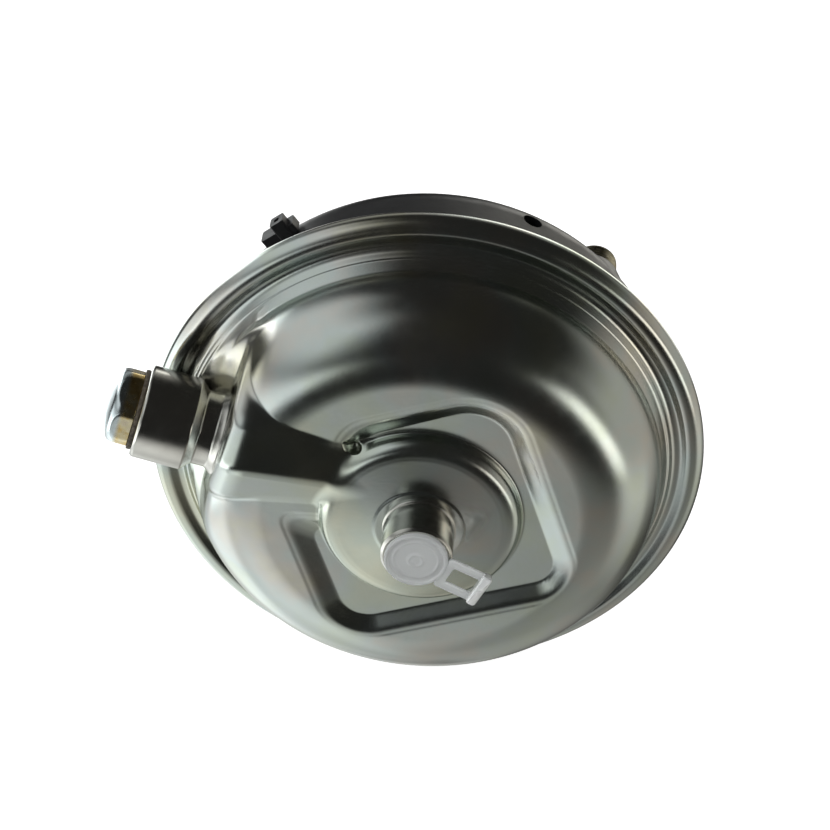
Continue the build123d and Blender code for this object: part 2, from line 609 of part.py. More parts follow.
def return_spring():
    """Conical spring: its small end sits on the push plate, its big end on the stud plate."""
    start = ROD_FOOT_PLANE + SPRING_WIRE + SPRING_CLEARANCE
    end = PLATE_SEAT - SPRING_WIRE - SPRING_CLEARANCE
    height = end - start
    lean = math.degrees(math.atan((SPRING_BIG_RADIUS - SPRING_SMALL_RADIUS) / height))
    path = Helix(height / SPRING_TURNS, height, SPRING_SMALL_RADIUS, cone_angle=lean)
    wire = sweep(Plane(origin=path @ 0, z_dir=path % 0) * Circle(SPRING_WIRE), path, is_frenet=True)
    return Pos(0, start, 0) * Rot(-90, 0, 0) * wire


# ---------------------------------------------------------------- gaiter and seals
def gaiter():
    """A rubber boot: its lip lies inside the opening, its collar grips the push rod."""
    lip_top = -REAR_SHEET
    lip_foot = lip_top - GAITER_LIP
    bore = ROD_RADIUS + ROD_CLEARANCE
    collar = bore + GAITER_COLLAR
    start = Vector(OPENING_RADIUS - GAITER_EDGE, (lip_top + lip_foot) / 2)
    span = Vector(collar, GAITER_COLLAR_PLANE) - start
    side = Vector(-span.Y, span.X).normalized()
    steps = 6 * GAITER_WAVES
    skin = []
    for i in range(steps + 1):
        wave = math.sin(2 * math.pi * GAITER_WAVES * i / steps)
        skin.append(start + span * (i / steps) - side * (GAITER_SWING * wave))
    air_side, spring_side = [], []
    for i in range(1, steps):
        along = (skin[i + 1] - skin[i - 1]).normalized()
        offset = Vector(-along.Y, along.X) * (GAITER_SKIN / 2)
        air_side.append((skin[i].X - offset.X, skin[i].Y - offset.Y))
        spring_side.append((skin[i].X + offset.X, skin[i].Y + offset.Y))
    half = GAITER_COLLAR_LENGTH / 2
    middle = GAITER_COLLAR_PLANE
    return turned([(GAITER_LIP_RADIUS, lip_top), (start.X, lip_top)] + air_side
                  + [(collar, middle + GAITER_SKIN), (collar, middle + half), (bore, middle + half),
                     (bore, middle - half), (collar, middle - half), (collar, middle - GAITER_SKIN)]
                  + spring_side[::-1] + [(start.X, lip_foot), (GAITER_LIP_RADIUS, lip_foot)])


def gaiter_retaining_ring():
    front = -REAR_SHEET - GAITER_LIP
    return ring_y(RING_INNER_RADIUS, RING_OUTER_RADIUS, front - RING_THICKNESS, front)


def gaiter_clip():
    collar = ROD_RADIUS + ROD_CLEARANCE + GAITER_COLLAR
    middle = GAITER_COLLAR_PLANE - GAITER_COLLAR_LENGTH / 2 + 2 * CLIP_WIRE
    return ring_y(collar, collar + 2 * CLIP_WIRE, middle - CLIP_WIRE, middle + CLIP_WIRE)


def mounting_face_seal():
    return ring_y(FACE_SEAL_INNER + FIT, FACE_SEAL_OUTER - FIT, -FACE_SEAL_DEPTH, FACE_SEAL_PROUD)


# ---------------------------------------------------------------- build
os.makedirs("parts", exist_ok=True)
upper, lower = stud_centres()
save("pressure_housing", pressure_housing())
save("axial_port_boss", axial_port_boss())
save("side_port_boss", side_port_boss())
save("side_port_plug_seal", side_port_plug_seal())
save("side_port_plug", side_port_plug())
save("port_dust_cap", port_dust_cap())
save("non_pressure_housing", non_pressure_housing())
save("stud_plate", stud_plate())
save("upper_mounting_stud", mounting_stud(upper))
save("lower_mounting_stud", mounting_stud(lower))
for place in ("top", "left", "bottom"):
    save(f"vent_plug_{place}", vent_plug(VENT_ANGLES[place]))
save("diaphragm", diaphragm())
save("push_plate", push_plate())
save("push_rod", push_rod())
save("return_spring", return_spring())
save("gaiter", gaiter())
save("gaiter_retaining_ring", gaiter_retaining_ring())
save("gaiter_clip", gaiter_clip())
save("mounting_face_seal", mounting_face_seal())
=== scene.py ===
# Air brake chamber for an air disc brake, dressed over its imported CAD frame.
# Lengths are in millimetres until a mesh is made; the frame is in metres.
import math

import bpy
import mathutils
import numpy as np
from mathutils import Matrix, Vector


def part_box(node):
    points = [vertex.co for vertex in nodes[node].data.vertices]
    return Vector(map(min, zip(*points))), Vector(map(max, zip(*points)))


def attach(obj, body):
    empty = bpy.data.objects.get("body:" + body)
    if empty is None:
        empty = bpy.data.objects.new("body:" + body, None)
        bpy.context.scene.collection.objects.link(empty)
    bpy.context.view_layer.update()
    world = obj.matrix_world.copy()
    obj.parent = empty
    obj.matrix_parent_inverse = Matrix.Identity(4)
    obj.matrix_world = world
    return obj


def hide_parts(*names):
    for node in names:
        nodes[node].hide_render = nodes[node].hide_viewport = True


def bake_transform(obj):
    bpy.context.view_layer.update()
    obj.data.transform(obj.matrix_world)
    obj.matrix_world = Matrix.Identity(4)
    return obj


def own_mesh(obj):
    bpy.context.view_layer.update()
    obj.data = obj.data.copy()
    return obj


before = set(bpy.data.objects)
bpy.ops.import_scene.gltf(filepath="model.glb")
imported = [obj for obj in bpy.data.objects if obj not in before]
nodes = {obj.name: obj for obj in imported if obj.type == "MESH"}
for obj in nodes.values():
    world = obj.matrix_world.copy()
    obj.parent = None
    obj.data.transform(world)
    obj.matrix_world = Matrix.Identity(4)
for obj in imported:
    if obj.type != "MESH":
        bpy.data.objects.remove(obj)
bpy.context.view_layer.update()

MM = 0.001
RIM_PLANE = -52.0

# ---------------------------------------------------------------- sizes of the cover and its ports
# A height is measured from the rim plane towards the ports, and a pair is a radius and a height.
RIM_RADIUS = 93.0
BEAD = 4.8
LIP_INNER = 85.2
SHEET = 2.4
WALL_RADIUS = 78.6
WALL_FOOT = (80.45, 7.3)
WALL_HEIGHT = 11.0
SHOULDER = (26.8, 27.5)
FACE_HEIGHT = 38.5

# the square recess: its slope starts with a small round at the foot and bends level at the face
RECESS_TURN = math.radians(17.3)
RECESS_HALF = 36.9
RECESS_TOP = 35.5
RECESS_CORNERS = {"top": 14.0, "right": 9.0, "left": 10.0}
RECESS_DEPTH = 2.66
RECESS_GRADE = 0.47
RECESS_FOOT = 0.5
RECESS_BEND = 4.3
RECESS_ROUND = 3.2
RECESS_TO_CHANNEL = 13.0
RECESS_TO_SIDE = 10.0
RECESS_SPLIT = 5.0
RECESS_END_ROUND = 7.0

# the round dish about the axial port
DISH_RADIUS = 33.2
DISH_EDGE_HEIGHT = 42.2
DISH_EDGE_INSET = 5.6
DISH_EDGE_ROUND = 6.6
DISH_PAD = (14.8, 43.7)
PAD_STEP = 0.3

# the flat for the side port: FLAT_LEAN is the height where it starts to lean, and how far it then moves out
SIDE_TURN = math.radians(163.3)
SIDE_DROP = 21.6
SIDE_FLAT = 69.0
FLAT_LEAN = (24.0, 10.5)

# the channel between dish and flat: a pair is a value at its start and the change per millimetre of run
CHANNEL_START = 27.0
CHANNEL_RUN = (-8.0, 40.0)
CHANNEL_INNER = 17.0
CHANNEL_FOOT = (-2.5, -0.27)
CHANNEL_RIDGE = (6.9, -0.085)
CHANNEL_CREST = (41.7, 0.109)
CHANNEL_SLANT = 0.31
CHANNEL_STEEP = 1.3
CHANNEL_UPPER = 66.3
CHANNEL_LIFT = 1.0

# the small pit beside the dish: along and across the side port's direction, height and radius
PIT = (28.4, 20.2, 36.6, 2.7)
PIT_SQUASH = 1.6

AXIAL_END = -110.1
AXIAL_RADIUS = 11.65
LEAD_RADIUS = 8.8
THREAD_START = AXIAL_END + 3.4
THREAD_END = THREAD_START + 10.0
AIR_HOLE = 4.5
THREAD_PITCH = 1.5

SIDE = np.array([math.cos(SIDE_TURN), 0.0, math.sin(SIDE_TURN)])
ACROSS = np.array([SIDE[2], 0.0, -SIDE[0]])
AXIAL = np.array([0.0, 1.0, 0.0])


# ---------------------------------------------------------------- mesh helpers
def mesh_object(name, verts, faces):
    """A smooth-shaded mesh object from points in millimetres."""
    mesh = bpy.data.meshes.new(name)
    mesh.from_pydata((verts * MM).tolist(), [], faces)
    mesh.update()
    mesh.polygons.foreach_set("use_smooth", [True] * len(mesh.polygons))
    obj = bpy.data.objects.new(name, mesh)
    bpy.context.scene.collection.objects.link(obj)
    return obj


def grid_object(name, points, caps=(), flip=False):
    """A surface through points[row, column]; its columns wrap round, and a cap closes a row with one face."""
    rows, cols = points.shape[:2]
    index = np.arange(rows * cols).reshape(rows, cols)
    after = np.roll(index, -1, axis=1)
    quads = np.stack([index[:-1], after[:-1], after[1:], index[1:]], -1)
    faces = quads.reshape(-1, 4).tolist()
    for row in caps:
        ring = index[row].tolist()
        faces.append(ring if row else ring[::-1])
    if flip:
        faces = [face[::-1] for face in faces]
    return mesh_object(name, points.reshape(-1, 3), faces)


def angles_round(count):
    """Evenly spaced angles of a full turn, without the last."""
    return np.linspace(0, 2 * math.pi, count, endpoint=False)


def basis(axis):
    """The axis at length 1, and two directions square to it and to each other."""
    axis = np.asarray(axis, float) / np.linalg.norm(axis)
    helper = np.array([0.0, 0.0, 1.0]) if abs(axis[2]) < 0.9 else np.array([1.0, 0.0, 0.0])
    u = np.cross(helper, axis)
    u /= np.linalg.norm(u)
    return axis, u, np.cross(axis, u)


def lathe(name, profile, segments, origin=(0.0, 0.0, 0.0), axis=AXIAL, closed=False):
    """Turns (radius, distance) points about an axis; a closed profile joins its end to its start."""
    axis, u, v = basis(axis)
    pts = np.asarray(list(profile) + ([profile[0]] if closed else []), float)
    t = angles_round(segments)
    ring = np.cos(t)[:, None] * u + np.sin(t)[:, None] * v
    grid = np.asarray(origin, float) + pts[:, 0, None, None] * ring[None] + pts[:, 1, None, None] * axis
    return grid_object(name, grid)


def rounded(points, radius, steps=4):
    """The polyline with each corner between its ends rounded, by no more than its sides allow."""
    pts = [np.asarray(p, float) for p in points]
    out = [pts[0]]
    for a, b, c in zip(pts, pts[1:], pts[2:]):
        la, lc = np.linalg.norm(a - b), np.linalg.norm(c - b)
        if la < 1e-9 or lc < 1e-9:
            continue
        r = min(radius, la * 0.45, lc * 0.45)
        p, q = b + (a - b) / la * r, b + (c - b) / lc * r
        for s in np.linspace(0, 1, steps + 1):
            out.append((1 - s) ** 2 * p + 2 * s * (1 - s) * b + s * s * q)
    out.append(pts[-1])
    return [tuple(p) for p in out]


def divided(points, parts):
    """The polyline with each of its runs cut into equal parts."""
    out = []
    for a, b in zip(points, points[1:]):
        a, b = np.array(a), np.array(b)
        out += [tuple(a + (b - a) * s) for s in np.arange(parts) / parts]
    return out + [points[-1]]


def smooth_line(points, step):
    """A Catmull-Rom line through points, with about step between its own points."""
    p = [np.asarray(q, float) for q in points]
    p = [2 * p[0] - p[1]] + p + [2 * p[-1] - p[-2]]
    out = []
    for a, b, c, d in zip(p, p[1:], p[2:], p[3:]):
        n = max(1, int(round(np.linalg.norm(c - b) / step)))
        for s in np.arange(n) / n:
            out.append(0.5 * (2 * b + (c - a) * s + (2 * a - 5 * b + 4 * c - d) * s * s
                              + (3 * b - a - 3 * c + d) * s ** 3))
    out.append(p[-2])
    return [tuple(q) for q in out]


def smooth_max(a, b, k):
    """The larger of two values, with their crease rounded over a width k."""
    h = np.clip(k - np.abs(a - b), 0, None) / k
    return np.maximum(a, b) + h * h * k / 4


def smooth_min(a, b, k):
    """The smaller of two values, rounded likewise."""
    return -smooth_max(-a, -b, k)


def cast(field, centre, directions, far):
    """Where rays from centre, at most far long, leave the solid in which field is negative."""
    halvings = 34
    low = np.zeros(directions.shape[:-1])
    high = np.full_like(low, far)
    for _ in range(halvings):
        mid = (low + high) / 2
        inside = field(centre + directions * mid[..., None]) < 0
        low = np.where(inside, mid, low)
        high = np.where(inside, high, mid)
    return centre + directions * low[..., None]


# ---------------------------------------------------------------- cover
# Each field is negative inside its form and takes points whose last axis is x, y, z.
def radius_and_height(p):
    """How far a point is from the chamber's axis, and its height above the rim plane."""
    return np.hypot(p[..., 0], p[..., 2]), RIM_PLANE - p[..., 1]


def bowl_field(p):
    """The round bowl: a wall that widens to its foot, and a shoulder that is a quarter of an ellipse."""
    r, h = radius_and_height(p)
    outward = (r - (WALL_RADIUS - SHOULDER[0])) / SHOULDER[0]
    upward = (h - WALL_HEIGHT) / SHOULDER[1]
    shoulder = (np.hypot(np.clip(outward, 0, None), np.clip(upward, 0, None)) - 1) * SHOULDER[1]
    widening = (WALL_FOOT[0] - WALL_RADIUS) * (WALL_HEIGHT - h) / (WALL_HEIGHT - WALL_FOOT[1])
    wall = r - (WALL_RADIUS + widening)
    return np.where(h > WALL_HEIGHT, shoulder, wall)


def channel_run(along):
    """How far out a point lies on the channel."""
    return np.clip(along - CHANNEL_START, *CHANNEL_RUN)


def channel_foot(run):
    """Where the channel's lower flank meets the face, across its run."""
    return CHANNEL_FOOT[0] + CHANNEL_FOOT[1] * run


def recess_field(p):
    """Negative below the floor and slopes of the square recess."""
    a = p[..., 0] * math.cos(RECESS_TURN) + p[..., 2] * math.sin(RECESS_TURN)
    b = p[..., 2] * math.cos(RECESS_TURN) - p[..., 0] * math.sin(RECESS_TURN)
    lower_corner = np.where(a > 0, RECESS_CORNERS["right"], RECESS_CORNERS["left"])
    corner = np.where(b > 0, RECESS_CORNERS["top"], lower_corner)
    qa = np.abs(a) - RECESS_HALF + corner
    qb = np.abs(b) - np.where(b > 0, RECESS_TOP, RECESS_HALF) + corner
    out = np.hypot(np.clip(qa, 0, None), np.clip(qb, 0, None)) + np.minimum(np.maximum(qa, qb), 0) - corner
    along = p @ SIDE
    across = p @ ACROSS
    clear_of_channel = across - channel_foot(channel_run(along)) + RECESS_TO_CHANNEL
    below = np.minimum(clear_of_channel, along - RECESS_TO_SIDE)
    end = np.where(across > RECESS_SPLIT, along - CHANNEL_START, below)
    out = smooth_max(out, end, RECESS_END_ROUND)
    foot = np.clip(out, 0, RECESS_FOOT)
    bend = np.clip(out - RECESS_BEND, 0, RECESS_ROUND)
    straight = np.clip(out, RECESS_FOOT, RECESS_BEND) - RECESS_FOOT
    rise = foot ** 2 / (2 * RECESS_FOOT) + straight + bend - bend ** 2 / (2 * RECESS_ROUND)
    rise = rise + np.clip(out - RECESS_BEND - RECESS_ROUND, 0, None)
    h = RIM_PLANE - p[..., 1]
    return h - (FACE_HEIGHT - RECESS_DEPTH + rise * RECESS_GRADE)


def dish_field(p):
    """The round dish: a top that rises to a flat pad, which stands a small step proud."""
    r, h = radius_and_height(p)
    edge = DISH_RADIUS - DISH_EDGE_INSET
    rise = np.clip((edge - r) / (edge - DISH_PAD[0]), 0, 1)
    top = DISH_EDGE_HEIGHT + rise * (DISH_PAD[1] - PAD_STEP - DISH_EDGE_HEIGHT)
    top = top + PAD_STEP * np.clip((DISH_PAD[0] - r) / 0.5 + 0.5, 0, 1)
    return smooth_max(r - DISH_RADIUS, h - top, DISH_EDGE_ROUND)


def channel_field(p):
    """The pressed-out channel: a top that slants, a ridge low on it and a flank under the ridge."""
    along = p @ SIDE
    across = p @ ACROSS
    h = RIM_PLANE - p[..., 1]
    run = channel_run(along)
    ridge = CHANNEL_RIDGE[0] + CHANNEL_RIDGE[1] * run
    crest = CHANNEL_CREST[0] + CHANNEL_CREST[1] * run
    foot = channel_foot(run)
    top = crest - CHANNEL_SLANT * (across - ridge)
    flank = crest + (crest - FACE_HEIGHT) * (across - ridge) / (ridge - foot)
    upper = CHANNEL_UPPER - CHANNEL_STEEP * across
    lower = FACE_HEIGHT + CHANNEL_LIFT + CHANNEL_STEEP * (across - foot)
    ridge_round, upper_round, lower_round, flat_round, inner_round = 1.6, 2.0, 2.5, 9.5, 6.0
    body = smooth_max(h - top, h - flank, ridge_round)
    body = smooth_max(body, h - upper, upper_round)
    body = smooth_max(body, h - lower, lower_round)
    body = smooth_max(body, along - SIDE_FLAT, flat_round)
    return smooth_max(body, CHANNEL_INNER - along, inner_round)


def flat_field(p):
    """The flat that the side port stands on: upright at the top, leaning out towards the rim."""
    h = RIM_PLANE - p[..., 1]
    low = np.clip((FLAT_LEAN[0] - h) / (FLAT_LEAN[0] - WALL_FOOT[1]), 0, 1)
    return p @ SIDE - SIDE_FLAT + 0.4 - FLAT_LEAN[1] * low ** 2


def pit_field(p):
    """Positive inside the small pit."""
    along, across, height, radius = PIT
    away = p - (SIDE * along + ACROSS * across + AXIAL * (RIM_PLANE - height))
    return radius - np.sqrt((away @ SIDE) ** 2 + (away @ ACROSS) ** 2 * PIT_SQUASH + away[..., 1] ** 2)


def cover_field(p):
    h = RIM_PLANE - p[..., 1]
    flat_round = 0.5 + 6.5 * np.clip((h - 7.0) / 10.0, 0, 1)
    edge_round, dish_round, raised_round, pit_round = 0.5, 2.5, 1.0, 0.8
    body = smooth_max(bowl_field(p), flat_field(p), flat_round)
    body = smooth_max(body, recess_field(p), edge_round)
    raised = smooth_min(channel_field(p), dish_field(p), dish_round)
    body = smooth_min(body, raised, raised_round)
    return smooth_max(body, pit_field(p), pit_round)


def pressed_directions(ring):
    """The directions of the rays from the rim's centre, one row of them for each place on the bowl."""
    inner = WALL_RADIUS - SHOULDER[0]
    face = [(r, FACE_HEIGHT) for r in np.arange(AIR_HOLE, inner, 0.42)]
    shoulder = [(inner + SHOULDER[0] * math.sin(s), WALL_HEIGHT + SHOULDER[1] * math.cos(s))
                for s in np.linspace(0, math.pi / 2, 90)]
    wall = [(WALL_RADIUS + 0.45 * step, WALL_HEIGHT - 0.9 * step) for step in (1, 2, 3)]
    places = np.array(face + shoulder + wall)
    directions = places[:, 0, None, None] * ring[None] - places[:, 1, None, None] * AXIAL
    return directions / np.linalg.norm(directions, axis=-1, keepdims=True)


def rim_profile():
    """The rim as (radius, height): a groove at the wall's foot, a half-round bead and the lip under it."""
    bead_middle = RIM_RADIUS - BEAD
    groove = smooth_line([WALL_FOOT, (80.7, 6.95), (81.15, 6.7), (81.6, 6.1), (82.4, 4.95), (83.6, 4.2),
                          (85.0, 4.0), (86.3, 4.35), (87.3, 4.7), (bead_middle, BEAD)], 0.3)
    bead = [(bead_middle + BEAD * math.sin(s), BEAD * math.cos(s)) for s in np.linspace(0, math.pi, 40)[1:]]
    lip = rounded([bead[-1], (LIP_INNER, -BEAD), (LIP_INNER, SHEET - BEAD), (bead_middle, SHEET - BEAD)], 0.5)
    return np.array(groove + bead + lip[1:])


def cover():
    """The cover's outer skin: rays through the pressed form, then the rolled rim turned round it."""
    t = angles_round(720)
    ring = np.stack([np.cos(t), np.zeros_like(t), np.sin(t)], -1)
    skin = cast(cover_field, AXIAL * RIM_PLANE, pressed_directions(ring), 120.0)
    turned = rim_profile()
    rim = turned[:, 0, None, None] * ring[None] + (RIM_PLANE - turned[:, 1, None, None]) * AXIAL
    ledge = [skin[-1] + (rim[0] - skin[-1]) * s for s in (0.12, 0.5, 0.88)]
    air_hole = AIR_HOLE * ring + AXIAL * (RIM_PLANE - DISH_PAD[1] + SHEET)
    points = np.concatenate([air_hole[None], skin, np.stack(ledge), rim])
    return grid_object("cover_skin", points, flip=True)


cover_skin = cover()
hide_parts("pressure_housing")
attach(cover_skin, "housing")


# ---------------------------------------------------------------- ports
def axial_boss():
    """The turned boss on the pad, with a lead-in bore down to its thread."""
    pad = RIM_PLANE - DISH_PAD[1]
    chamfer = 0.9
    fillet = [(AXIAL_RADIUS - 0.5, pad + 0.4), (AXIAL_RADIUS + 0.5, pad), (AXIAL_RADIUS + 0.25, pad - 0.5),
              (AXIAL_RADIUS - 0.25, pad - 0.7), (AXIAL_RADIUS, pad - 1.3)]
    end = [(AXIAL_RADIUS, AXIAL_END + chamfer), (AXIAL_RADIUS - chamfer, AXIAL_END),
           (LEAD_RADIUS + 0.3, AXIAL_END), (LEAD_RADIUS, AXIAL_END + 0.3)]
    bore = [(LEAD_RADIUS, THREAD_START - 0.2), (LEAD_RADIUS - 0.3, THREAD_START), (7.9, THREAD_START),
            (7.4, THREAD_START + 0.6)]
    return lathe("axial_boss_skin", rounded(fillet + end + bore, 0.22), 160)


def thread(name, crest, root, start, end, origin=(0.0, 0.0, 0.0), axis=AXIAL):
    """A helical thread surface between two places on an axis; it fades out at both ends."""
    rows_per_turn = 12
    axis, u, v = basis(axis)
    rows = np.arange(start, end, THREAD_PITCH / rows_per_turn)
    t = angles_round(96)
    phase = (rows[:, None] / THREAD_PITCH - t[None] / (2 * math.pi)) % 1.0
    wave = np.clip(np.abs(2 * phase - 1) * 1.35 - 0.12, 0, 1)
    fade = np.clip(np.minimum(rows - start, end - rows) / (THREAD_PITCH * 0.8), 0, 1)[:, None]
    radius = crest + (root - crest) * wave * fade
    ring = np.cos(t)[:, None] * u + np.sin(t)[:, None] * v
    grid = np.asarray(origin, float) + radius[..., None] * ring[None] + rows[:, None, None] * axis
    return grid_object(name, grid)


axial_skin = axial_boss()
axial_thread = thread("axial_port_thread", 7.19, 8.0, THREAD_START + 0.3, THREAD_END + 0.1)
port_floor_profile = [(7.5, THREAD_END - 0.3), (7.2, THREAD_END), (AIR_HOLE, THREAD_END + 0.4),
                      (AIR_HOLE, RIM_PLANE - DISH_PAD[1])]
axial_floor = lathe("axial_port_floor", port_floor_profile, 96)
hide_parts("axial_port_boss")
for piece in (axial_skin, axial_thread, axial_floor):
    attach(piece, "housing")

SIDE_ORIGIN = np.array([0.0, RIM_PLANE - SIDE_DROP, 0.0])
NECK_RADIUS = 12.4
NECK_END = SIDE_FLAT + 7.4
BOSS_RADIUS = 15.4
BOSS_FOOT = NECK_END + 3.0
SIDE_END = BOSS_FOOT + 17.0
SHANK_LENGTH = 10.0
side_profile = [(14.6, SIDE_FLAT - 0.8), (14.3, SIDE_FLAT + 0.5), (13.3, SIDE_FLAT + 1.6),
                (NECK_RADIUS, SIDE_FLAT + 2.6), (NECK_RADIUS, NECK_END), (BOSS_RADIUS, BOSS_FOOT),
                (BOSS_RADIUS, SIDE_END - 0.8), (BOSS_RADIUS - 0.8, SIDE_END), (11.2, SIDE_END),
                (10.3, SIDE_END - 0.9), (10.2, SIDE_END - 9.0)]
side_boss_skin = lathe("side_boss_skin", rounded(side_profile, 0.5), 160, SIDE_ORIGIN, SIDE)
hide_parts("side_port_boss")
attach(side_boss_skin, "housing")

SEAL_INNER, SEAL_OUTER = 10.7, 13.3
seal_low, seal_high = SIDE_END + 0.05, SIDE_END + 1.45
seal_profile = [(SEAL_INNER, seal_low), (SEAL_OUTER, seal_low), (SEAL_OUTER + 0.1, SIDE_END + 0.7),
                (SEAL_OUTER, seal_high), (SEAL_INNER, seal_high)]
seal_skin = lathe("plug_seal_ring", rounded(seal_profile, 0.25), 96, SIDE_ORIGIN, SIDE, closed=True)
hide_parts("side_port_plug_seal")
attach(seal_skin, "plug_seal")


def hexagon_head():
    """The plug's head: six flats under a domed end, which cuts the corners round."""
    flats = 5.4
    dome_height = 4.2
    half = 24.0 / 2
    start = SIDE_END + 1.5
    middle = SIDE_ORIGIN + SIDE * (start + flats / 2)
    first_flat = math.radians(60.0) + math.pi / 6
    edge_round, dome_round, rim_round, foot_round = 0.5, 3.0, 0.3, 0.2

    def field(p):
        q = p - middle
        s = q @ SIDE + flats / 2
        a = q @ ACROSS
        b = q @ AXIAL
        r = np.hypot(a, b)
        angles = [first_flat + k * math.pi / 3 for k in range(6)]
        sides = [a * math.cos(angle) + b * math.sin(angle) for angle in angles]
        hexagon = sides[0]
        for side in sides[1:]:
            hexagon = smooth_max(hexagon, side, edge_round)
        dome = s - flats - dome_height * (1 - 0.55 * (r / half) ** 2)
        end = smooth_max(r - half - 1.0, dome, dome_round)
        return smooth_max(smooth_max(hexagon - half, end, rim_round), -s, foot_round)

    latitude = np.linspace(-math.pi / 2 + 0.01, math.pi / 2 - 0.004, 150)
    latitude = latitude - 0.16 * np.sin(2 * latitude)
    t = angles_round(240)
    ring = np.cos(t)[:, None] * ACROSS + np.sin(t)[:, None] * AXIAL
    directions = np.cos(latitude)[:, None, None] * ring[None] + np.sin(latitude)[:, None, None] * SIDE
    return grid_object("plug_head", cast(field, middle, directions, 20.0), caps=(0, -1))


plug_head = hexagon_head()
shank_end = SIDE_END - SHANK_LENGTH
plug_thread = thread("plug_thread", 10.1, 9.2, shank_end, SIDE_END + 1.6, SIDE_ORIGIN, SIDE)
shank_profile = [(9.6, shank_end + 0.2), (9.0, shank_end - 0.1), (0.01, shank_end - 0.1)]
plug_end = lathe("plug_shank_end", shank_profile, 96, SIDE_ORIGIN, SIDE)
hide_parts("side_port_plug")
for piece in (plug_head, plug_thread, plug_end):
    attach(piece, "plug")

# ---------------------------------------------------------------- dust cap
TAB_TURN = math.radians(-28.4)
TAB_X = np.array([math.cos(TAB_TURN), 0.0, math.sin(TAB_TURN)])
TAB_Z = np.array([-math.sin(TAB_TURN), 0.0, math.cos(TAB_TURN)])


def cap_disc():
    """The cap: a disc with a button and a ring moulded on it, and a skirt that plugs the boss's bore."""
    out = AXIAL_END - 1.2
    rim = 10.3
    skirt_outer, skirt_inner = 8.7, 7.62
    back = AXIAL_END - 0.1
    skirt_end = AXIAL_END + 2.7
    button = [(0.01, out - 0.1), (1.5, out - 0.1), (2.3, out - 0.55), (3.1, out - 0.1), (6.6, out)]
    edge = [(7.2, out - 0.35), (7.9, out), (9.0, out), (9.3, out - 0.6), (rim - 0.2, out - 0.6), (rim, out)]
    skirt = [(rim, back), (skirt_outer + 0.02, back), (skirt_outer, skirt_end - 0.3),
             (skirt_outer - 0.3, skirt_end), (skirt_inner, skirt_end), (skirt_inner, back), (0.01, back)]
    return lathe("cap_disc", rounded(button + edge + skirt, 0.3), 128)


def on_tab(points, y):
    """Points of the tab's own plane, at a place along Y."""
    points = np.asarray(points, float)
    return points[:, :1] * TAB_X + points[:, 1:] * TAB_Z + AXIAL * y


def tab_outline(inner, outer, half_width, radius):
    """A rectangle of the tab's plane with curved corners."""
    corners = [(inner, -half_width), (outer, -half_width), (outer, half_width), (inner, half_width)]
    corners = [np.array(corner) for corner in corners]
    out = []
    for k, b in enumerate(corners):
        a, c = corners[k - 1], corners[(k + 1) % 4]
        p = b + (a - b) / np.linalg.norm(a - b) * radius
        q = b + (c - b) / np.linalg.norm(c - b) * radius
        out += [(1 - s) ** 2 * p + 2 * s * (1 - s) * b + s * s * q for s in np.linspace(0, 1, 7)]
    return out


def cap_tab():
    """The pull tab: a flat frame with a window."""
    start, end, half = 9.4, 24.6, 6.1
    window_start, window_end, window_half = 12.2, 21.6, 3.2
    edge = 0.25
    big = tab_outline(start, end, half, 1.3)
    big_inset = tab_outline(start + edge, end - edge, half - edge, 1.1)
    small = tab_outline(window_start, window_end, window_half, 0.9)
    small_inset = tab_outline(window_start - edge, window_end + edge, window_half + edge, 1.1)
    back, front = AXIAL_END - 0.02, AXIAL_END - 1.4
    sections = ((small, back - edge), (small_inset, back), (big_inset, back), (big, back - edge),
                (big, front + edge), (big_inset, front), (small_inset, front), (small, front + edge),
                (small, back - edge))
    return grid_object("cap_tab", np.array([on_tab(outline, y) for outline, y in sections]))


def cap_bar():
    """The thicker bar at the tab's end."""
    radius = 0.9
    start, end, half = 21.5, 24.7, 6.2
    top = AXIAL_END - 2.9

    def outline(inset):
        x0, x1, w = start + inset + radius, end - inset - radius, half - inset - radius
        corners = ((x1, w, 0), (x0, w, 90), (x0, -w, 180), (x1, -w, 270))
        return [(x + radius * math.cos(math.radians(turn + s)), z + radius * math.sin(math.radians(turn + s)))
                for x, z, turn in corners for s in np.linspace(0, 90, 7)]

    sections = ((0.0, AXIAL_END), (0.0, top + 0.5), (0.15, top + 0.15), (0.4, top))
    rows = np.array([on_tab(outline(inset), y) for inset, y in sections])
    return grid_object("cap_bar", rows, caps=(0, -1), flip=True)


cap_skin = cap_disc()
tab, bar = cap_tab(), cap_bar()
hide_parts("port_dust_cap")
for piece in (cap_skin, tab, bar):
    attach(piece, "dust_cap")

